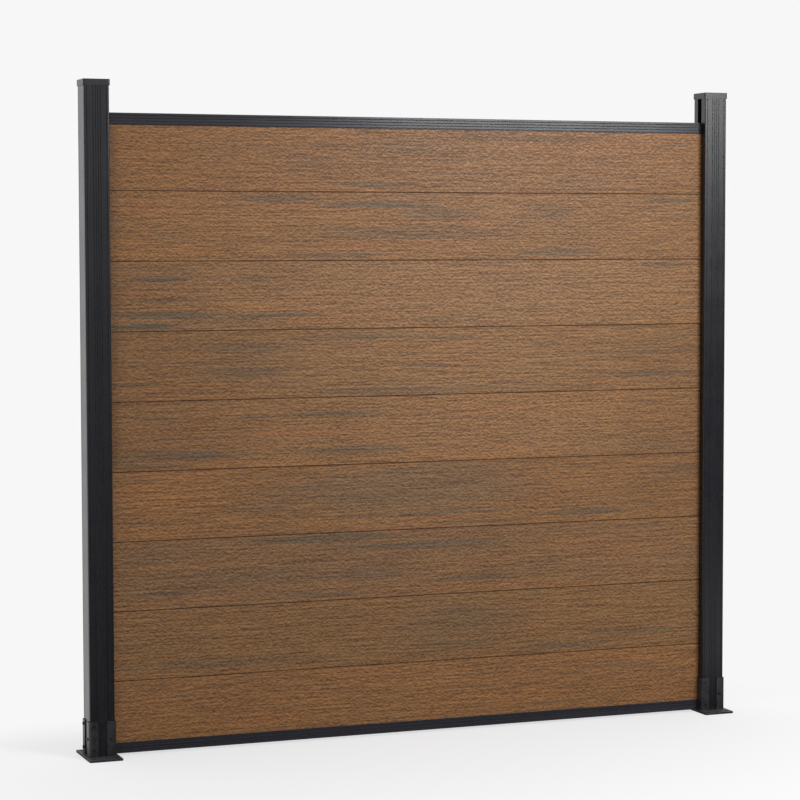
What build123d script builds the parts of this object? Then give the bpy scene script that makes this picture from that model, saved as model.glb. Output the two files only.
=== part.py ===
from build123d import *
import os

# Free-standing bay of composite fence: nine boards between two slotted posts on bolt-down feet.
# Millimetres, Z up, the ground at z = 0, the front of the panel towards -Y, the middle at x = 0.

# Boards
board_count = 9
board_pitch = 200
board_thickness = 20
board_bevel = 1
joint_gap_height = 1.2
joint_gap_depth = 3.5
tongue_height = 10
tongue_thickness = 8
tongue_clearance = 0.3
tongue_chamfer = 1

# Rails around the stack of boards, and the air on each side of a rail wall
rail_wall = 1.6
rail_clearance = 0.2
rail_edge_radius = 0.7
rail_groove_depth = 1
rail_groove_offsets = (3, 11, 19, 27)
bottom_rail_height = 31
bottom_seat_height = 8
top_rail_height = 34
top_rail_rise = 19

# Posts, one slot each
clear_width = 1880
post_size = 73
post_corner_radius = 3
post_wall = 2.2
post_web = 2
slot_depth = 26
expansion_gap = 4
face_groove_depth = 0.9
front_groove_offsets = (3.5, 10.5, 28.5)
side_groove_offset = 28.5
post_above_rail = 92

# Caps
cap_overhang = 2.3
cap_height = 18
cap_top_thickness = 4
cap_corner_radius = 4
cap_edge_chamfer = 0.8
cap_clearance = 0.3

# Base plates and their bolt holes
plate_width = 97
plate_depth = 170
plate_thickness = 6
plate_corner_radius = 4
plate_edge_chamfer = 0.6
bolt_hole_diameter = 11
bolt_spacing_x = 66
bolt_spacing_y = 136

# Upright angles at the four corners of the foot of each post
angle_thickness = 3.5
angle_height = 100
angle_inner_radius = 2
rail_passage_clearance = 1

# Screws through the angles into the post
screw_shank_diameter = 4.8
screw_length = 12
screw_hole_clearance = 0.3
screw_head_size = 8
screw_head_height = 3
screw_inset = 15.5
low_screw_height = 20
high_screw_height = 88
middle_screw_height = 50

# Sizes that follow
rail_inside = board_thickness + 2 * rail_clearance
rail_width = rail_inside + 2 * rail_wall
slot_width = rail_width + 2 * rail_clearance
panel_length = clear_width + 2 * (slot_depth - expansion_gap)
post_centre = (clear_width + post_size) / 2
stack_low = plate_thickness + bottom_seat_height
stack_high = stack_low + board_count * board_pitch
top_rail_high = stack_high + top_rail_rise
cap_high = top_rail_high + post_above_rail
post_high = cap_high - cap_top_thickness
angle_reach = post_size / 2 + angle_thickness
passage_width = slot_width + 2 * rail_passage_clearance
angle_leg = angle_reach - passage_width / 2
screw_hole_radius = screw_shank_diameter / 2 + screw_hole_clearance
rail_groove_side = rail_groove_depth * 2 ** 0.5
face_groove_side = face_groove_depth * 2 ** 0.5


# The sides of a post are numbered from the front, anticlockwise as seen from above.
side_directions = ((1, 0, 0), (0, 1, 0), (-1, 0, 0), (0, -1, 0))


def foot_plane(centre_x, side):
    # The plane's x runs along that side of the post, and its -y points outwards through it.
    return Plane(
        origin=(centre_x, 0, plate_thickness),
        x_dir=side_directions[side % 4],
        z_dir=(0, 0, 1),
    )


def screw_plane(centre_x, side, along, height):
    # A screw head sits on this plane, on an angle's outer face, and faces outwards.
    foot = foot_plane(centre_x, side)
    origin = foot.from_local_coords((along, -angle_reach, height))
    return Plane(origin=origin, x_dir=foot.x_dir, z_dir=-foot.y_dir)


def screw_planes(centre_x, corner, slot_side):
    # One leg of each angle takes two screws, and the other leg takes one between their heights.
    # The side with the slot takes none, since the rails and the boards slide in there.
    along = angle_reach - screw_inset
    planes = []
    if corner != slot_side:
        for height in (low_screw_height, high_screw_height):
            planes.append(screw_plane(centre_x, corner, -along, height))
    if (corner - 1) % 4 != slot_side:
        planes.append(screw_plane(centre_x, corner - 1, along, middle_screw_height))
    return planes


def all_screw_planes(centre_x, slot_side):
    planes = []
    for corner in range(4):
        planes.extend(screw_planes(centre_x, corner, slot_side))
    return planes


def make_board(low):
    middle = low + board_pitch / 2
    high = low + board_pitch
    with BuildPart() as board:
        with BuildSketch(Plane.YZ.offset(-panel_length / 2)) as section:
            with Locations((0, middle)):
                Rectangle(board_thickness, board_pitch)
            # The outer strips of the top shoulder stay lower, so each joint shows as a dark line.
            shoulder_middle = (board_thickness - joint_gap_depth) / 2
            with Locations((shoulder_middle, high), (-shoulder_middle, high)):
                Rectangle(joint_gap_depth, 2 * joint_gap_height, mode=Mode.SUBTRACT)
            corners = section.vertices().group_by(Axis.X)
            chamfer(corners[0] + corners[-1], length=board_bevel)
            with Locations((0, high)):
                Rectangle(tongue_thickness, 2 * tongue_height)
            chamfer(section.vertices().group_by(Axis.Y)[-1], length=tongue_chamfer)
            with Locations((0, low)):
                groove_width = tongue_thickness + 2 * tongue_clearance
                groove_depth = tongue_height + tongue_clearance
                Rectangle(groove_width, 2 * groove_depth, mode=Mode.SUBTRACT)
        extrude(amount=panel_length)
    return board.part


def make_rail(low, high, pocket, chamber, lip, away):
    # The groove lines are measured from the lip's edge, away from the boards.
    groove_places = []
    for offset in rail_groove_offsets:
        groove_places.append((-rail_width / 2, lip + away * offset))
        groove_places.append((rail_width / 2, lip + away * offset))
    with BuildPart() as rail:
        with BuildSketch(Plane.YZ.offset(-panel_length / 2)) as section:
            with Locations((0, (low + high) / 2)):
                Rectangle(rail_width, high - low)
            fillet(section.vertices(), radius=rail_edge_radius)
            for cut_low, cut_high in (pocket, chamber):
                with Locations((0, (cut_low + cut_high) / 2)):
                    Rectangle(rail_inside, cut_high - cut_low, mode=Mode.SUBTRACT)
            with Locations(*groove_places):
                Rectangle(rail_groove_side, rail_groove_side, rotation=45, mode=Mode.SUBTRACT)
        extrude(amount=panel_length)
    return rail.part


def make_post(centre_x, slot_side):
    inside = post_size - 2 * post_wall
    web_far = slot_width / 2 + post_web
    front_chamber = post_size / 2 - post_wall - web_far
    front_chamber_y = web_far + front_chamber / 2
    slot_floor = post_size / 2 - slot_depth
    back_chamber = slot_floor - post_web + inside / 2
    back_chamber_x = -inside / 2 + back_chamber / 2
    grooves = [(-post_size / 2, side_groove_offset), (-post_size / 2, -side_groove_offset)]
    for offset in front_groove_offsets:
        for side in (-1, 1):
            grooves.append((side * offset, post_size / 2))
            grooves.append((side * offset, -post_size / 2))
    with BuildPart() as post:
        with BuildSketch(foot_plane(centre_x, slot_side - 1)) as section:
            Rectangle(post_size, post_size)
            fillet(section.vertices(), radius=post_corner_radius)
            with Locations((0, front_chamber_y), (0, -front_chamber_y)):
                Rectangle(inside, front_chamber, mode=Mode.SUBTRACT)
            with Locations((back_chamber_x, 0)):
                Rectangle(back_chamber, slot_width, mode=Mode.SUBTRACT)
            with Locations((post_size / 2 - slot_depth / 2, 0)):
                Rectangle(slot_depth, slot_width, mode=Mode.SUBTRACT)
            with Locations(*grooves):
                Rectangle(face_groove_side, face_groove_side, rotation=45, mode=Mode.SUBTRACT)
        extrude(amount=post_high - plate_thickness)
        with BuildSketch(*all_screw_planes(centre_x, slot_side)):
            Circle(screw_hole_radius)
        extrude(amount=-(angle_thickness + post_wall + 1), mode=Mode.SUBTRACT)
    return post.part


def make_cap(centre_x):
    outer = post_size + 2 * cap_overhang
    inner = post_size + 2 * cap_clearance
    inner_radius = post_corner_radius - cap_clearance
    with BuildPart() as cap:
        with BuildSketch(Plane(origin=(centre_x, 0, cap_high))):
            RectangleRounded(outer, outer, cap_corner_radius)
        extrude(amount=-cap_height)
        chamfer(cap.faces().sort_by(Axis.Z)[-1].edges(), length=cap_edge_chamfer)
        with BuildSketch(Plane(origin=(centre_x, 0, cap_high - cap_height))):
            RectangleRounded(inner, inner, inner_radius)
        extrude(amount=cap_height - cap_top_thickness, mode=Mode.SUBTRACT)
    return cap.part


def make_base_plate(centre_x):
    with BuildPart() as plate:
        with BuildSketch(Plane(origin=(centre_x, 0, 0))):
            RectangleRounded(plate_width, plate_depth, plate_corner_radius)
            with GridLocations(bolt_spacing_x, bolt_spacing_y, 2, 2):
                Circle(bolt_hole_diameter / 2, mode=Mode.SUBTRACT)
        extrude(amount=plate_thickness)
        top_rim = plate.faces().sort_by(Axis.Z)[-1].outer_wire().edges()
        chamfer(top_rim, length=plate_edge_chamfer)
    return plate.part


def make_angle(centre_x, corner, slot_side):
    outer_corner = (-angle_reach, -angle_reach)
    inner_corner = (-post_size / 2, -post_size / 2)
    leg_end = angle_leg - angle_reach
    with BuildPart() as angle:
        with BuildSketch(foot_plane(centre_x, corner)) as section:
            with BuildLine():
                Polyline(
                    outer_corner,
                    (leg_end, -angle_reach),
                    (leg_end, -post_size / 2),
                    inner_corner,
                    (-post_size / 2, leg_end),
                    (-angle_reach, leg_end),
                    close=True,
                )
            make_face()
            fillet(
                section.vertices().sort_by_distance(inner_corner)[0],
                radius=angle_inner_radius,
            )
            fillet(
                section.vertices().sort_by_distance(outer_corner)[0],
                radius=angle_inner_radius + angle_thickness,
            )
        extrude(amount=angle_height)
        with BuildSketch(*screw_planes(centre_x, corner, slot_side)):
            Circle(screw_hole_radius)
        extrude(amount=-angle_thickness, mode=Mode.SUBTRACT)
    return angle.part


def make_screws(centre_x, slot_side):
    planes = all_screw_planes(centre_x, slot_side)
    with BuildPart() as screws:
        with BuildSketch(*planes):
            RegularPolygon(screw_head_size / 2, 6, major_radius=False)
        extrude(amount=screw_head_height)
        with BuildSketch(*planes):
            Circle(screw_shank_diameter / 2)
        extrude(amount=-screw_length)
    return screws.part


nodes = {}
for index in range(board_count):
    nodes[f"board_{index + 1}"] = make_board(stack_low + index * board_pitch)

bottom_rail_high = plate_thickness + bottom_rail_height
nodes["bottom_rail"] = make_rail(
    plate_thickness,
    bottom_rail_high,
    (stack_low, bottom_rail_high),
    (plate_thickness + rail_wall, stack_low - rail_wall),
    bottom_rail_high,
    -1,
)

top_rail_low = top_rail_high - top_rail_height
tongue_top = stack_high + tongue_height
nodes["top_rail"] = make_rail(
    top_rail_low,
    top_rail_high,
    (top_rail_low, tongue_top),
    (tongue_top + rail_wall, top_rail_high - rail_wall),
    top_rail_low,
    1,
)

posts = (
    ("left", -post_centre, 1, ("front_outer", "front_inner", "rear_inner", "rear_outer")),
    ("right", post_centre, 3, ("front_inner", "front_outer", "rear_outer", "rear_inner")),
)
for end, centre_x, slot_side, corner_names in posts:
    nodes[f"{end}_post"] = make_post(centre_x, slot_side)
    nodes[f"{end}_cap"] = make_cap(centre_x)
    nodes[f"{end}_base_plate"] = make_base_plate(centre_x)
    for corner, corner_name in enumerate(corner_names):
        nodes[f"{end}_{corner_name}_angle"] = make_angle(centre_x, corner, slot_side)
    nodes[f"{end}_foot_screws"] = make_screws(centre_x, slot_side)

os.makedirs("parts", exist_ok=True)
for name, part in nodes.items():
    part.label = name
    export_step(part, f"parts/{name}.step")
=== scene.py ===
import math
import bpy
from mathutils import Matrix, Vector

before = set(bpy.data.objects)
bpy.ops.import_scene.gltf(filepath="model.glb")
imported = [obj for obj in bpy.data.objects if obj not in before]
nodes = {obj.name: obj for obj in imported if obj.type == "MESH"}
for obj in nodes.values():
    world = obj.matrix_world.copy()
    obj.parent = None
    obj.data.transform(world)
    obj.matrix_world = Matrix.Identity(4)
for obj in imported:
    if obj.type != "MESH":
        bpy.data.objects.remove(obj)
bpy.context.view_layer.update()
print("frame loaded,", len(nodes), "nodes")

# the camera stands left of the middle, three quarters up the panel, and looks slightly down
camera = {
    "place": (-2.689, -6.871, 1.457),
    "tiltDown": 3.56,  # degrees below level
    "roll": 0.107,  # degrees
    "turn": -20.99,  # degrees, to the right of straight ahead
    "focalPixels": 2483,  # for a picture 800 pixels wide
    "imagePixels": 800,
    "sensorWidth": 36.0,
    "farthest": 60.0,
}

cameraData = bpy.data.cameras.new("photoCamera")
cameraData.sensor_width = camera["sensorWidth"]
cameraData.lens = camera["sensorWidth"] * camera["focalPixels"] / camera["imagePixels"]
cameraData.clip_end = camera["farthest"]
cameraObject = bpy.data.objects.new("photoCamera", cameraData)
cameraObject.location = camera["place"]
cameraObject.rotation_euler = (
    math.radians(90 - camera["tiltDown"]), math.radians(camera["roll"]), math.radians(camera["turn"]))
bpy.context.scene.collection.objects.link(cameraObject)
bpy.context.scene.camera = cameraObject
bpy.context.scene.view_settings.view_transform = "Standard"
print("camera placed")

noiseMiddle = 0.5  # the mean of every noise


def addNode(tree, kind, inputs=None, **settings):
    node = tree.nodes.new(kind)
    for key, value in settings.items():
        setattr(node, key, value)
    for key, value in (inputs or {}).items():
        if isinstance(value, bpy.types.NodeSocket):
            tree.links.new(value, node.inputs[key])
        else:
            node.inputs[key].default_value = value
    return node


def addMath(tree, operation, first, second=0.0):
    return addNode(tree, "ShaderNodeMath", {0: first, 1: second}, operation=operation).outputs[0]


def addRange(tree, value, low, high, lowOut=0.0, highOut=1.0):
    return addNode(tree, "ShaderNodeMapRange", {
        "Value": value, "From Min": low, "From Max": high, "To Min": lowOut, "To Max": highOut},
        interpolation_type="SMOOTHSTEP").outputs[0]


def addMix(tree, amount, under, over):
    return addNode(tree, "ShaderNodeMix", {0: amount, 6: under, 7: over}, data_type="RGBA").outputs[2]


def addNoise(tree, place, seed, detail=2.0, roughness=0.5):
    return addNode(tree, "ShaderNodeTexNoise", {
        "Vector": place, "W": seed, "Scale": 1.0, "Detail": detail, "Roughness": roughness},
        noise_dimensions="4D").outputs[0]


def addSwing(tree, noise, size):  # a noise that swings about zero
    return addMath(tree, "MULTIPLY", addMath(tree, "SUBTRACT", noise, noiseMiddle), size)


def addStretch(tree, place, x, y, z):  # the place divided by a size along each axis
    parts = addNode(tree, "ShaderNodeSeparateXYZ", {0: place}).outputs
    return addNode(tree, "ShaderNodeCombineXYZ", {
        0: addMath(tree, "DIVIDE", parts[0], x),
        1: addMath(tree, "DIVIDE", parts[1], y),
        2: addMath(tree, "DIVIDE", parts[2], z)}).outputs[0]


def addGroup(tree, group, inputs):
    return addNode(tree, "ShaderNodeGroup", inputs, node_tree=group).outputs


def startGroup(name, numbers, outputs):  # each group takes a place and numbers, and gives numbers
    group = bpy.data.node_groups.new(name, "ShaderNodeTree")
    group.interface.new_socket(name="Place", in_out="INPUT", socket_type="NodeSocketVector")
    for label in numbers:
        group.interface.new_socket(name=label, in_out="INPUT", socket_type="NodeSocketFloat")
    for label in outputs:
        group.interface.new_socket(name=label, in_out="OUTPUT", socket_type="NodeSocketFloat")
    return group, group.nodes.new("NodeGroupInput").outputs, group.nodes.new("NodeGroupOutput").inputs


def startMaterial(name):
    material = bpy.data.materials.new(name)
    material.use_nodes = True
    tree = material.node_tree
    tree.nodes.clear()
    shader = tree.nodes.new("ShaderNodeBsdfPrincipled")
    output = tree.nodes.new("ShaderNodeOutputMaterial")
    tree.links.new(shader.outputs[0], output.inputs[0])
    place = tree.nodes.new("ShaderNodeTexCoord").outputs["Object"]
    return material, tree, shader, place


def paint(red, green, blue):  # a colour as a paint program shows it, 0 to 255
    def linear(value):
        value = value / 255
        return value / 12.92 if value <= 0.04045 else ((value + 0.055) / 1.055) ** 2.4
    return linear(red), linear(green), linear(blue), 1.0


def dress(name, material):
    for slot in nodes[name].material_slots:
        slot.material = material


# dashes and longer lines pressed into the boards, each with a raised rim above it
grainShape = {
    "frontToBack": 0.02,  # size of the pattern in that direction
    "rimRise": 2.4,  # how far the rim lies above its line, in heights of the line
    "rimShare": 0.32,
    "lineDetail": 1.0,
    "lineRoughness": 0.5,
    "lineRange": (0.35, 0.65),  # from bare to fully pressed
    "dashSeed": 7.3,  # added, so that the dashes don't follow the lines
    "dashDetail": 1.5,
    "dashRoughness": 0.6,
    "dashRange": (0.35, 0.63),
}
grain, given, made = startGroup(
    "embossedGrain", ("Seed", "Dash Length", "Line Length", "Dash Height", "Line Share"), ("Dashes", "Relief"))


def pressLine(length, seed, detail, roughness):
    place = addStretch(grain, given["Place"], length, grainShape["frontToBack"], given["Dash Height"])
    above = addNode(grain, "ShaderNodeVectorMath", {
        0: place, 1: (0.0, 0.0, grainShape["rimRise"])}, operation="ADD").outputs[0]
    rim = addSwing(grain, addNoise(grain, above, seed, detail, roughness), grainShape["rimShare"])
    return addMath(grain, "SUBTRACT", addNoise(grain, place, seed, detail, roughness), rim)


line = pressLine(given["Line Length"], given["Seed"], grainShape["lineDetail"], grainShape["lineRoughness"])
dash = pressLine(given["Dash Length"], addMath(grain, "ADD", given["Seed"], grainShape["dashSeed"]),
                 grainShape["dashDetail"], grainShape["dashRoughness"])
dashShare = addMath(grain, "SUBTRACT", 1.0, given["Line Share"])
lineMask = addMath(grain, "MULTIPLY", addRange(grain, line, *grainShape["lineRange"]), given["Line Share"])
dashMask = addMath(grain, "MULTIPLY", addRange(grain, dash, *grainShape["dashRange"]), dashShare)
dashes = addMath(grain, "ADD", lineMask, dashMask)
grain.links.new(dashes, made["Dashes"])
grain.links.new(addMath(grain, "SUBTRACT", 1.0, dashes), made["Relief"])

# long wavy streaks where the extruder mixed in a second pigment
flowShape = {
    "waveSize": (0.3, 1.0, 0.08),
    "waveDetail": 1.0,
    "waveHeight": 0.03,
    "streakSeed": 3.1,  # seeds are added, so that no two noises are alike
    "streakFrontToBack": 0.2,
    "streakDetail": 3.0,
    "streakRoughness": 0.55,
    "patchSeed": 5.7,
    "patchSize": (0.6, 0.3, 0.09),
    "patchDetail": 1.0,
    "patchShare": 0.6,
    "edgeHighest": 0.8,  # where a streak's edge lies in the noise with no cover
    "edgeDrop": 0.5,  # and how much lower with full cover
    "edgeSoftness": 0.12,
}
flow, given, made = startGroup("pigmentFlow", ("Seed", "Run", "Width", "Cover"), ("Streaks",))
wave = addNoise(flow, addStretch(flow, given["Place"], *flowShape["waveSize"]), given["Seed"],
                flowShape["waveDetail"])
lift = addNode(flow, "ShaderNodeCombineXYZ", {2: addSwing(flow, wave, flowShape["waveHeight"])}).outputs[0]
waved = addNode(flow, "ShaderNodeVectorMath", {0: given["Place"], 1: lift}, operation="ADD").outputs[0]
streak = addNoise(flow, addStretch(flow, waved, given["Run"], flowShape["streakFrontToBack"], given["Width"]),
                  addMath(flow, "ADD", given["Seed"], flowShape["streakSeed"]),
                  flowShape["streakDetail"], flowShape["streakRoughness"])
patch = addNoise(flow, addStretch(flow, given["Place"], *flowShape["patchSize"]),
                 addMath(flow, "ADD", given["Seed"], flowShape["patchSeed"]), flowShape["patchDetail"])
streaked = addMath(flow, "ADD", streak, addSwing(flow, patch, flowShape["patchShare"]))
edge = addMath(flow, "SUBTRACT", flowShape["edgeHighest"],
               addMath(flow, "MULTIPLY", given["Cover"], flowShape["edgeDrop"]))
flow.links.new(addRange(flow, streaked, addMath(flow, "SUBTRACT", edge, flowShape["edgeSoftness"]),
                        addMath(flow, "ADD", edge, flowShape["edgeSoftness"])), made["Streaks"])

# ovals listed one by one: a streak has ragged ends, a patch fades evenly
ovalShape = {
    "raggedness": 2.2,
    "streakFade": (1.6, -0.1),  # from clear to full, in the square of the distance from the centre
    "patchFade": (1.4, 0.0),
}
ovalNumbers = ("Centre X", "Centre Z", "Half Length", "Half Height", "Strength")


def addReach(tree, given):  # the square of the distance from the centre, 1 on the oval's edge
    parts = addNode(tree, "ShaderNodeSeparateXYZ", {0: given["Place"]}).outputs
    along = addMath(tree, "DIVIDE", addMath(tree, "SUBTRACT", parts[0], given["Centre X"]), given["Half Length"])
    upright = addMath(tree, "DIVIDE", addMath(tree, "SUBTRACT", parts[2], given["Centre Z"]), given["Half Height"])
    return addMath(tree, "ADD", addMath(tree, "MULTIPLY", along, along), addMath(tree, "MULTIPLY", upright, upright))


softStreak, given, made = startGroup("softStreak", ("Ragged",) + ovalNumbers, ("Mask",))
torn = addMath(softStreak, "ADD", addReach(softStreak, given),
               addSwing(softStreak, given["Ragged"], ovalShape["raggedness"]))
softStreak.links.new(addMath(softStreak, "MULTIPLY", addRange(softStreak, torn, *ovalShape["streakFade"]),
                             given["Strength"]), made["Mask"])

# these evenly fading ovals carry only painted light and shade on the boards: paler centres, darker ends, the left
# post's shade and the shade along the joints
lightAndShadePatch, given, made = startGroup("lightAndShadePatch", ovalNumbers, ("Mask",))
lightAndShadePatch.links.new(addMath(lightAndShadePatch, "MULTIPLY", addRange(
    lightAndShadePatch, addReach(lightAndShadePatch, given), *ovalShape["patchFade"]), given["Strength"]), made["Mask"])

# powder coat: a fine orange peel, faint draw lines from the die, uneven gloss and a little dust on top
coatShape = {
    "peelDetail": 1.0,
    "peelRelief": 0.6,
    "lineSeed": 2.2,  # seeds are added, so that no two noises are alike
    "lineDetail": 2.0,
    "lineRelief": 0.4,
    "lineGloss": 1.0,
    "lineRange": (0.35, 0.65),
    "cloudSeed": 4.9,
    "cloudSize": 0.09,
    "cloudDetail": 3.0,
    "cloudRoughness": 0.6,
    "cloudGloss": 1.4,
    "upwardRange": (0.5, 1.0),  # from a sloping face to one that looks straight up
    "upwardDull": 0.35,
    "dustRange": (0.3, 0.75),
}
powder, given, made = startGroup(
    "powderCoat", ("Seed", "Peel Size", "Line X", "Line Y", "Line Z", "Gloss", "Gloss Spread"),
    ("Roughness", "Relief", "Lines", "Dust"))
peel = addNoise(powder, addStretch(powder, given["Place"], given["Peel Size"], given["Peel Size"],
                                   given["Peel Size"]), given["Seed"], coatShape["peelDetail"])
lines = addNoise(powder, addStretch(powder, given["Place"], given["Line X"], given["Line Y"], given["Line Z"]),
                 addMath(powder, "ADD", given["Seed"], coatShape["lineSeed"]), coatShape["lineDetail"])
cloud = addNoise(powder, addStretch(powder, given["Place"], coatShape["cloudSize"], coatShape["cloudSize"],
                                    coatShape["cloudSize"]),
                 addMath(powder, "ADD", given["Seed"], coatShape["cloudSeed"]),
                 coatShape["cloudDetail"], coatShape["cloudRoughness"])
uneven = addMath(powder, "ADD", addSwing(powder, cloud, coatShape["cloudGloss"]),
                 addSwing(powder, lines, coatShape["lineGloss"]))
gloss = addMath(powder, "ADD", given["Gloss"], addMath(powder, "MULTIPLY", uneven, given["Gloss Spread"]))
facing = addNode(powder, "ShaderNodeSeparateXYZ", {
    0: powder.nodes.new("ShaderNodeNewGeometry").outputs["Normal"]}).outputs[2]
upward = addRange(powder, facing, *coatShape["upwardRange"])  # faces that look up gather dust and turn dull
powder.links.new(addMath(powder, "ADD", addMath(powder, "MULTIPLY", upward, coatShape["upwardDull"]), gloss),
                 made["Roughness"])
powder.links.new(addMath(powder, "ADD", addMath(powder, "MULTIPLY", peel, coatShape["peelRelief"]),
                         addMath(powder, "MULTIPLY", lines, coatShape["lineRelief"])), made["Relief"])
powder.links.new(addRange(powder, lines, *coatShape["lineRange"]), made["Lines"])
powder.links.new(addMath(powder, "MULTIPLY", upward, addRange(powder, cloud, *coatShape["dustRange"])), made["Dust"])

# edge wear: where a rounded edge turns, broken up so that it isn't an even line
wearShape = {
    "bevelSamples": 4,
    "turnRange": (0.995, 0.9),  # from a flat face to an edge that turns fully
    "breakSize": 0.012,
    "breakDetail": 3.0,
    "breakRoughness": 0.6,
    "breakRange": (0.4, 0.7),
}
edgeWear, given, made = startGroup("edgeWear", ("Radius", "Seed"), ("Edges",))
roundNormal = addNode(edgeWear, "ShaderNodeBevel", {"Radius": given["Radius"]},
                      samples=wearShape["bevelSamples"]).outputs[0]
flatNormal = edgeWear.nodes.new("ShaderNodeNewGeometry").outputs["Normal"]
alike = addNode(edgeWear, "ShaderNodeVectorMath", {0: roundNormal, 1: flatNormal},
                operation="DOT_PRODUCT").outputs["Value"]
broken = addNoise(edgeWear, addStretch(edgeWear, given["Place"], wearShape["breakSize"], wearShape["breakSize"],
                                       wearShape["breakSize"]),
                  given["Seed"], wearShape["breakDetail"], wearShape["breakRoughness"])
edgeWear.links.new(addMath(edgeWear, "MULTIPLY", addRange(edgeWear, alike, *wearShape["turnRange"]),
                           addRange(edgeWear, broken, *wearShape["breakRange"])), made["Edges"])
print("shader groups built")
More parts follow.
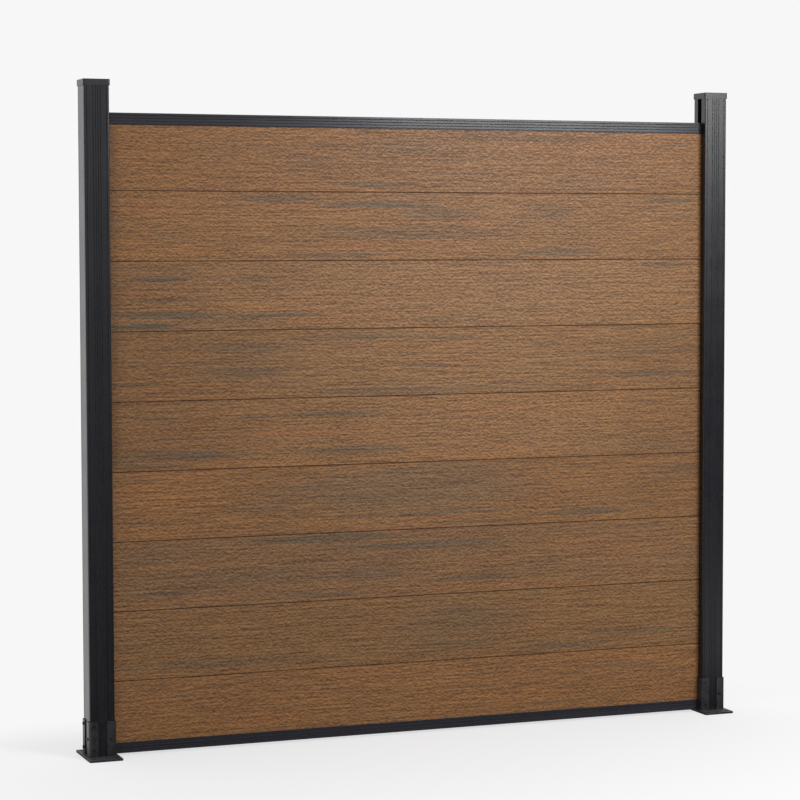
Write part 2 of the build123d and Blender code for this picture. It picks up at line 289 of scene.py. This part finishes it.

# boards, from the bottom up; foot is the height of the lower joint in millimetres, and each streak or
# patch is x, z, length and height in millimetres, then its strength; the shade patches are painted shade,
# darker towards the board ends and beside the left post, and the light patches are painted light mid-board
boards = {
    "board_1": {"foot": 14, "tone": (144, 102, 62), "seed": 1.3,
                "grey": [(-725, 162, 70, 9, 0.5), (-287, 162, 60, 9, 0.5), (180, 165, 120, 8, 0.4),
                         (680, 163, 260, 9, 0.55), (480, 62, 500, 12, 0.3)],
                "warm": [(-500, 70, 500, 22, 0.3), (780, 178, 240, 16, 0.4), (300, 90, 600, 30, 0.2)],
                "paintedShade": [],
                "paintedLight": [(0, 110, 900, 240, 0.06)]},
    "board_2": {"foot": 214, "tone": (136, 100, 62), "seed": 2.7,
                "grey": [(130, 310, 420, 150, 0.35), (126, 361, 220, 12, 0.5), (100, 264, 260, 14, 0.6),
                         (720, 266, 460, 18, 0.4), (480, 235, 320, 12, 0.55), (-600, 250, 600, 30, 0.3)],
                "warm": [(-90, 400, 120, 12, 0.4), (420, 362, 160, 14, 0.3)],
                "paintedShade": [],
                "paintedLight": []},
    "board_3": {"foot": 414, "tone": (135, 99, 64), "seed": 3.9,
                "grey": [(-290, 598, 560, 22, 0.75), (0, 566, 640, 26, 0.6), (-790, 458, 240, 16, 0.7),
                         (-310, 430, 240, 14, 0.65), (180, 458, 300, 16, 0.65), (-560, 492, 700, 60, 0.3),
                         (-780, 570, 300, 60, 0.3), (-150, 490, 220, 60, 0.35)],
                "warm": [(-720, 562, 160, 30, 0.35), (480, 560, 140, 14, 0.4), (300, 430, 700, 16, 0.25)],
                "paintedShade": [],
                "paintedLight": []},
    "board_4": {"foot": 614, "tone": (142, 101, 60), "seed": 4.1,
                "grey": [(-60, 730, 900, 130, 0.55), (70, 780, 560, 60, 0.4), (-300, 762, 120, 14, 0.5),
                         (30, 660, 620, 16, 0.6), (560, 643, 300, 24, 0.6), (190, 627, 360, 12, 0.55),
                         (-480, 690, 260, 34, 0.35), (860, 760, 200, 60, 0.35)],
                "warm": [(-780, 740, 360, 120, 0.35), (-720, 794, 260, 14, 0.5), (300, 694, 160, 12, 0.4)],
                "paintedShade": [(860, 714, 500, 300, 0.1)],
                "paintedLight": [(-20, 714, 760, 220, 0.1)]},
    "board_5": {"foot": 814, "tone": (146, 105, 64), "seed": 5.6,
                "grey": [(-260, 965, 340, 14, 0.7), (-790, 962, 140, 12, 0.55), (-510, 960, 120, 12, 0.55),
                         (-675, 853, 190, 16, 0.75), (-745, 855, 440, 34, 0.5), (-205, 856, 440, 26, 0.55),
                         (-840, 826, 240, 14, 0.6), (-700, 905, 500, 8, 0.5), (700, 850, 500, 50, 0.2)],
                "warm": [(230, 962, 260, 24, 0.55), (-450, 912, 900, 14, 0.45), (280, 856, 120, 22, 0.5),
                         (200, 829, 820, 14, 0.45)],
                "paintedShade": [(-820, 914, 700, 320, 0.17), (860, 914, 400, 300, 0.1), (-950, 914, 90, 500, 0.3)],
                "paintedLight": [(250, 914, 900, 300, 0.14)]},
    "board_6": {"foot": 1014, "tone": (146, 106, 64), "seed": 6.2,
                "grey": [(-520, 1164, 300, 36, 0.4), (-180, 1190, 420, 16, 0.45), (100, 1180, 240, 12, 0.55),
                         (410, 1158, 110, 14, 0.6), (22, 1102, 170, 14, 0.6), (-865, 1062, 170, 14, 0.6),
                         (-30, 1030, 660, 18, 0.55), (780, 1063, 340, 20, 0.55), (-540, 1090, 320, 46, 0.4),
                         (-560, 1124, 820, 8, 0.4), (660, 1130, 600, 10, 0.35)],
                "warm": [(-20, 1158, 500, 14, 0.5), (60, 1156, 260, 12, 0.4), (-840, 1182, 300, 10, 0.35),
                         (650, 1040, 160, 10, 0.4)],
                "paintedShade": [(-800, 1114, 800, 320, 0.17), (880, 1114, 460, 300, 0.13), (-950, 1114, 90, 500, 0.3)],
                "paintedLight": [(150, 1114, 800, 300, 0.12)]},
    "board_7": {"foot": 1214, "tone": (149, 108, 67), "seed": 7.4,
                "grey": [(-790, 1363, 200, 18, 0.75), (-505, 1362, 110, 14, 0.6), (-760, 1260, 340, 20, 0.85),
                         (-450, 1256, 320, 14, 0.8), (-850, 1228, 220, 16, 0.9), (830, 1398, 240, 14, 0.6),
                         (-780, 1302, 320, 10, 0.45), (50, 1240, 120, 12, 0.4), (-740, 1398, 420, 14, 0.3)],
                "warm": [(-780, 1314, 260, 14, 0.5), (-470, 1284, 360, 10, 0.4), (-340, 1242, 260, 16, 0.4),
                         (860, 1366, 120, 16, 0.4), (50, 1258, 120, 12, 0.35)],
                "paintedShade": [(-880, 1314, 500, 320, 0.14), (-950, 1314, 90, 500, 0.3)],
                "paintedLight": [(250, 1314, 1300, 300, 0.12)]},
    "board_8": {"foot": 1414, "tone": (148, 105, 61), "seed": 8.8,
                "grey": [(-430, 1593, 260, 16, 0.65), (-130, 1577, 380, 24, 0.65), (70, 1550, 260, 40, 0.45),
                         (440, 1556, 180, 50, 0.35), (-250, 1430, 320, 12, 0.65), (460, 1437, 320, 24, 0.5),
                         (0, 1495, 640, 40, 0.35), (830, 1593, 220, 14, 0.6), (860, 1540, 160, 20, 0.3)],
                "warm": [(-400, 1572, 210, 12, 0.6), (-220, 1452, 270, 14, 0.65), (-60, 1462, 260, 12, 0.45),
                         (-830, 1560, 190, 40, 0.5), (-700, 1444, 120, 40, 0.5), (-840, 1495, 60, 40, 0.4)],
                "paintedShade": [(-950, 1514, 90, 500, 0.3)],
                "paintedLight": []},
    "board_9": {"foot": 1614, "tone": (148, 103, 59), "seed": 9.5,
                "grey": [(330, 1776, 480, 14, 0.55), (-120, 1636, 260, 14, 0.6), (-350, 1697, 110, 12, 0.45),
                         (520, 1652, 240, 14, 0.4), (-10, 1745, 220, 50, 0.2), (860, 1764, 120, 14, 0.4)],
                "warm": [(-130, 1656, 260, 12, 0.6), (440, 1740, 480, 50, 0.25), (-520, 1786, 160, 14, 0.35),
                         (780, 1690, 300, 90, 0.2), (760, 1640, 300, 14, 0.35)],
                "paintedShade": [(-950, 1714, 90, 500, 0.35)],
                "paintedLight": []},
}

boardLook = {
    "pitch": 200,  # millimetres from joint to joint
    "greyTone": (94, 87, 70),
    "warmTone": (162, 106, 58),
    "grainAndShadeTone": (60, 36, 18),  # the colour down in the dashes, also laid on as painted shade in the shade patches and along the joints
    # painted light, laid on mid-board where the lamp's light pools
    "paintedLightTone": (182, 136, 90),
    "faintGrey": {"Run": 0.35, "Width": 0.009, "Cover": 0.45},
    "faintGreyShare": 0.17,
    "faintWarm": {"Run": 0.45, "Width": 0.011, "Cover": 0.45},
    "faintWarmShare": 0.26,
    "faintWarmSeed": 20,  # added, so that the warm streaks don't follow the grey ones
    "raggedSize": (0.14, 0.3, 0.0065),
    "raggedDetail": 3.0,
    "raggedRoughness": 0.6,
    "dashLength": 0.0085,
    "lineLength": 0.13,
    "dashHeight": 0.0023,
    "lineShare": 0.36,
    "dashStrength": 0.88,
    "reliefDepth": 0.0006,
    "reliefStrength": 0.6,
    "smoothest": 0.32,
    "roughest": 0.46,
    "shine": 0.26,
    "narrowStreak": 40,  # streaks lower than this many millimetres are stronger
    "narrowBoost": 1.15,
    # painted shade along each joint, where the gap between boards falls into shadow
    "jointShadeLength": 40000,  # millimetres, far longer than a board, so that the painted shade is even along it
    "jointShadeHeight": 4,  # millimetres of painted shade at each joint, half of it on either board
    "jointShadeDark": 0.55,
}


def ovalInputs(place, x, z, length, height, strength):  # millimetres to metres, whole sizes to half sizes
    return {"Place": place, "Centre X": x / 1000, "Centre Z": z / 1000,
            "Half Length": length / 2000, "Half Height": height / 2000, "Strength": strength}


def addStreaks(tree, place, ragged, streaks):
    total = None
    for x, z, length, height, strength in streaks:
        if height < boardLook["narrowStreak"]:
            strength = strength * boardLook["narrowBoost"]
        mask = addGroup(tree, softStreak, {
            **ovalInputs(place, x, z, length, height, strength), "Ragged": ragged})["Mask"]
        total = mask if total is None else addMath(tree, "MAXIMUM", total, mask)
    return total


def makeBoard(name, board):
    material, tree, shader, place = startMaterial(name)
    seed = board["seed"]
    grey, warm, grainAndShade, paintedLight = (paint(*boardLook[tone]) for tone in ("greyTone", "warmTone", "grainAndShadeTone", "paintedLightTone"))
    ragged = addNoise(tree, addStretch(tree, place, *boardLook["raggedSize"]), seed,
                      boardLook["raggedDetail"], boardLook["raggedRoughness"])
    greyMask = addStreaks(tree, place, ragged, board["grey"])
    warmMask = addStreaks(tree, place, ragged, board["warm"])
    faintGrey = addGroup(tree, flow, {"Place": place, "Seed": seed, **boardLook["faintGrey"]})["Streaks"]
    faintWarm = addGroup(tree, flow, {
        "Place": place, "Seed": seed + boardLook["faintWarmSeed"], **boardLook["faintWarm"]})["Streaks"]
    press = addGroup(tree, grain, {
        "Place": place, "Seed": seed, "Dash Length": boardLook["dashLength"],
        "Line Length": boardLook["lineLength"], "Dash Height": boardLook["dashHeight"],
        "Line Share": boardLook["lineShare"]})
    color = addMix(tree, addMath(tree, "MULTIPLY", faintGrey, boardLook["faintGreyShare"]),
                   paint(*board["tone"]), grey)
    color = addMix(tree, addMath(tree, "MULTIPLY", faintWarm, boardLook["faintWarmShare"]), color, warm)
    color = addMix(tree, warmMask, color, warm)
    color = addMix(tree, greyMask, color, grey)
    # painted shade and painted light: the shade patches darken the board ends and beside the left post, the light
    # patches lighten mid-board where the lamp's light pools
    for tone, kind in ((grainAndShade, "paintedShade"), (paintedLight, "paintedLight")):
        for oval in board[kind]:
            color = addMix(tree, addGroup(tree, lightAndShadePatch, ovalInputs(place, *oval))["Mask"], color, tone)
    color = addMix(tree, addMath(tree, "MULTIPLY", press["Dashes"], boardLook["dashStrength"]), color, grainAndShade)
    # painted shade along both joints of the board, where the gap falls into shadow
    for joint in (board["foot"], board["foot"] + boardLook["pitch"]):
        jointShade = addGroup(tree, lightAndShadePatch, ovalInputs(
            place, 0, joint, boardLook["jointShadeLength"], boardLook["jointShadeHeight"], boardLook["jointShadeDark"]))["Mask"]
        color = addMix(tree, jointShade, color, grainAndShade)
    tree.links.new(color, shader.inputs["Base Color"])
    tree.links.new(addRange(tree, press["Dashes"], 0.0, 1.0, boardLook["smoothest"], boardLook["roughest"]),
                   shader.inputs["Roughness"])
    bump = addNode(tree, "ShaderNodeBump", {
        "Height": press["Relief"], "Distance": boardLook["reliefDepth"], "Strength": boardLook["reliefStrength"]})
    tree.links.new(bump.outputs[0], shader.inputs["Normal"])
    shader.inputs["Specular IOR Level"].default_value = boardLook["shine"]
    return material


for name, board in boards.items():
    dress(name, makeBoard("composite_" + name, board))
print("boards dressed,", len(boards))

# metal finishes; line sizes run along the piece, which was drawn or rolled that way
coats = {
    "postCoat": {
        "tone": (13, 13, 18), "shine": 0.5, "gloss": 0.27, "spread": 0.10, "peel": 0.0016,
        "line": (0.0022, 0.0022, 1.4), "depth": 0.00006, "wear": 0.25, "seed": 11.0},
    "railCoat": {
        "tone": (33, 33, 37), "shine": 0.24, "gloss": 0.22, "spread": 0.12, "peel": 0.0016,
        "line": (1.4, 0.0022, 0.0022), "depth": 0.00006, "wear": 0.3, "seed": 12.0},
    "capCoat": {
        "tone": (17, 17, 20), "shine": 0.5, "gloss": 0.31, "spread": 0.08, "peel": 0.0020,
        "line": (0.02, 0.02, 0.02), "depth": 0.00008, "wear": 0.3, "seed": 13.0},
    "steelCoat": {
        "tone": (28, 28, 31), "shine": 0.6, "gloss": 0.28, "spread": 0.12, "peel": 0.0014,
        "line": (0.015, 0.015, 0.015), "depth": 0.00010, "wear": 0.5, "seed": 14.0},
    # the screws' strong edge lightening is partly wear and partly a painted highlight, a light rim standing in for
    # the glint on each head
    "screwCoat": {
        "tone": (12, 12, 13), "shine": 0.8, "gloss": 0.22, "spread": 0.08, "peel": 0.0007,
        "line": (0.004, 0.004, 0.004), "depth": 0.00003, "wear": 0.6, "seed": 15.0},
}
metalLook = {
    "dustTone": (120, 116, 110),
    "dustShare": 0.12,
    "wornTone": (84, 84, 88),
    "edgeRadius": 0.0015,
    "lineLift": 1.4,  # how much lighter the draw lines are than the coat
    "reliefStrength": 0.5,
}


def makeCoat(name, coat):
    material, tree, shader, place = startMaterial(name)
    finish = addGroup(tree, powder, {
        "Place": place, "Seed": coat["seed"], "Peel Size": coat["peel"], "Line X": coat["line"][0],
        "Line Y": coat["line"][1], "Line Z": coat["line"][2], "Gloss": coat["gloss"],
        "Gloss Spread": coat["spread"]})
    edges = addGroup(tree, edgeWear, {
        "Place": place, "Radius": metalLook["edgeRadius"], "Seed": coat["seed"]})["Edges"]
    lighter = tuple(part * metalLook["lineLift"] for part in coat["tone"])
    color = addMix(tree, finish["Lines"], paint(*coat["tone"]), paint(*lighter))
    color = addMix(tree, addMath(tree, "MULTIPLY", edges, coat["wear"]), color, paint(*metalLook["wornTone"]))
    color = addMix(tree, addMath(tree, "MULTIPLY", finish["Dust"], metalLook["dustShare"]), color,
                   paint(*metalLook["dustTone"]))
    tree.links.new(color, shader.inputs["Base Color"])
    tree.links.new(finish["Roughness"], shader.inputs["Roughness"])
    shader.inputs["Specular IOR Level"].default_value = coat["shine"]
    bump = addNode(tree, "ShaderNodeBump", {
        "Height": finish["Relief"], "Distance": coat["depth"], "Strength": metalLook["reliefStrength"]})
    tree.links.new(bump.outputs[0], shader.inputs["Normal"])
    return material


finishes = {name: makeCoat(name, coat) for name, coat in coats.items()}
for rail in ("bottom_rail", "top_rail"):
    dress(rail, finishes["railCoat"])
for side in ("left", "right"):
    dress(side + "_post", finishes["postCoat"])
    dress(side + "_cap", finishes["capCoat"])
    for piece in ("base_plate", "front_outer_angle", "front_inner_angle", "rear_inner_angle", "rear_outer_angle"):
        dress(side + "_" + piece, finishes["steelCoat"])
    dress(side + "_foot_screws", finishes["screwCoat"])
print("metal dressed")

# the room: white behind and above, dimmer in front; each range is in parts of a direction of length one
room = {
    "seenLevel": 0.93,  # what the camera sees behind the object, and of the floor away from it
    "backLevel": 1.0,
    "backRange": (0.1, 0.6),
    "topLevel": 0.85,
    "topRange": (0.3, 0.9),
    "frontLow": 0.06,
    "frontHigh": 0.75,
    "frontRange": (-0.2, 0.12),
    "leftShare": 1.0,
    "rightShare": 0.15,
    "sideRange": (0.27, 0.42),
}
whitePaint = (1, 1, 1, 1)

world = bpy.data.worlds.new("studioWorld")
bpy.context.scene.world = world
world.use_nodes = True
tree = world.node_tree
tree.nodes.clear()
rayKind = tree.nodes.new("ShaderNodeLightPath").outputs
direction = addNode(tree, "ShaderNodeSeparateXYZ", {
    0: tree.nodes.new("ShaderNodeTexCoord").outputs["Generated"]}).outputs
sideShare = addRange(tree, direction[0], *room["sideRange"], room["leftShare"], room["rightShare"])
frontLevel = addRange(tree, direction[2], *room["frontRange"], room["frontLow"], room["frontHigh"])
depthLevel = addRange(tree, direction[1], *room["backRange"], addMath(tree, "MULTIPLY", sideShare, frontLevel),
                      room["backLevel"])
topLevel = addRange(tree, direction[2], *room["topRange"], 0.0, room["topLevel"])
seen = addNode(tree, "ShaderNodeBackground", {"Color": whitePaint, "Strength": room["seenLevel"]})
around = addNode(tree, "ShaderNodeBackground", {
    "Color": whitePaint, "Strength": addMath(tree, "MAXIMUM", depthLevel, topLevel)})
mixed = addNode(tree, "ShaderNodeMixShader", {
    0: rayKind["Is Camera Ray"], 1: around.outputs[0], 2: seen.outputs[0]})
addNode(tree, "ShaderNodeOutputWorld", {0: mixed.outputs[0]})

# the floor: lit paper with soft shadows near the object, running out into even white
floorLook = {
    "size": 24.0,
    "drop": 0.0005,  # keeps the paper clear of the plates
    "paperTone": (0.9, 0.9, 0.92, 1),
    "evenShare": 0.62,  # how much even white is laid over the lit paper, even under the object
    "evenRange": (0.3, 1.2),  # from there to even white alone, in the reaches below
    "halfWidth": 1.0,
    "besideReach": 0.6,
    "behindReach": 0.5,
    "beforeReach": 2.2,
}
# what shiny surfaces see of the floor: two places along an axis, then the levels there
# a painted reflection: for glossy rays alone the floor glows at these levels instead of showing its lit paper
mirrorLook = {
    "behind": (0.2, 1.0, 0.1, 0.95),
    "left": (-1.0, -1.15, 0.0, 0.95),
    "nearRightAcross": (0.6, 2.0),
    "nearRightStart": (-0.2, -0.8),
    "nearRightEnd": (-3.4, -1.2),
    "nearRightLevel": 0.9,
}

floorMesh = bpy.data.meshes.new("studioFloor")
half = floorLook["size"] / 2
floorMesh.from_pydata([(-half, -half, 0), (half, -half, 0), (half, half, 0), (-half, half, 0)], [], [(0, 1, 2, 3)])
floor = bpy.data.objects.new("studioFloor", floorMesh)
floor.location.z = -floorLook["drop"]
bpy.context.scene.collection.objects.link(floor)
material = bpy.data.materials.new("floorPaper")
material.use_nodes = True
tree = material.node_tree
tree.nodes.clear()
rayKind = tree.nodes.new("ShaderNodeLightPath").outputs
glow = addNode(tree, "ShaderNodeEmission", {"Color": whitePaint, "Strength": room["seenLevel"]})
paper = addNode(tree, "ShaderNodeBsdfDiffuse", {"Color": floorLook["paperTone"]})
where = addNode(tree, "ShaderNodeSeparateXYZ", {0: tree.nodes.new("ShaderNodeTexCoord").outputs["Object"]}).outputs
pastEnd = addMath(tree, "MAXIMUM", addMath(
    tree, "SUBTRACT", addMath(tree, "ABSOLUTE", where[0]), floorLook["halfWidth"]), 0.0)
beside = addMath(tree, "DIVIDE", pastEnd, floorLook["besideReach"])
behind = addMath(tree, "DIVIDE", addMath(tree, "MAXIMUM", where[1], 0.0), floorLook["behindReach"])
before = addMath(tree, "DIVIDE", addMath(tree, "MINIMUM", where[1], 0.0), floorLook["beforeReach"])
reach = addNode(tree, "ShaderNodeCombineXYZ", {0: beside, 1: behind, 2: before}).outputs[0]
spread = addNode(tree, "ShaderNodeVectorMath", {0: reach}, operation="LENGTH").outputs["Value"]
evenShare = addRange(tree, spread, *floorLook["evenRange"], floorLook["evenShare"], 1.0)
seenShare = addMath(tree, "MULTIPLY", rayKind["Is Camera Ray"], evenShare)
# painted reflection: for glossy rays the floor glows bright near the front right, behind and to the left, and dim
# elsewhere in front
nearRight = addMath(tree, "MULTIPLY", addRange(tree, where[0], *mirrorLook["nearRightAcross"]), addMath(
    tree, "MULTIPLY", addRange(tree, where[1], *mirrorLook["nearRightStart"]),
    addRange(tree, where[1], *mirrorLook["nearRightEnd"])))
behindOrLeft = addMath(tree, "MAXIMUM", addRange(tree, where[1], *mirrorLook["behind"]),
                       addRange(tree, where[0], *mirrorLook["left"]))
paintedReflection = addNode(tree, "ShaderNodeEmission", {
    "Color": whitePaint, "Strength": addMath(
        tree, "ADD", addMath(tree, "MULTIPLY", nearRight, mirrorLook["nearRightLevel"]), behindOrLeft)})
mixed = addNode(tree, "ShaderNodeMixShader", {0: seenShare, 1: paper.outputs[0], 2: glow.outputs[0]})
mixed = addNode(tree, "ShaderNodeMixShader", {
    0: rayKind["Is Glossy Ray"], 1: mixed.outputs[0], 2: paintedReflection.outputs[0]})
addNode(tree, "ShaderNodeOutputMaterial", {0: mixed.outputs[0]})
floorMesh.materials.append(material)

# one large softbox in front on the right
keyLamp = {
    "place": (1.97, -3.7, 2.65),
    "aim": (0.35, 0.0, 1.1),
    "size": 1.5,
    "power": 125.0,
}

key = bpy.data.lights.new("keySoftbox", "AREA")
key.shape = "SQUARE"
key.size = keyLamp["size"]
key.energy = keyLamp["power"]
keyObject = bpy.data.objects.new("keySoftbox", key)
keyObject.location = keyLamp["place"]
keyObject.rotation_euler = (Vector(keyLamp["aim"]) - Vector(keyLamp["place"])).to_track_quat("-Z", "Y").to_euler()
bpy.context.scene.collection.objects.link(keyObject)
print("studio lit")
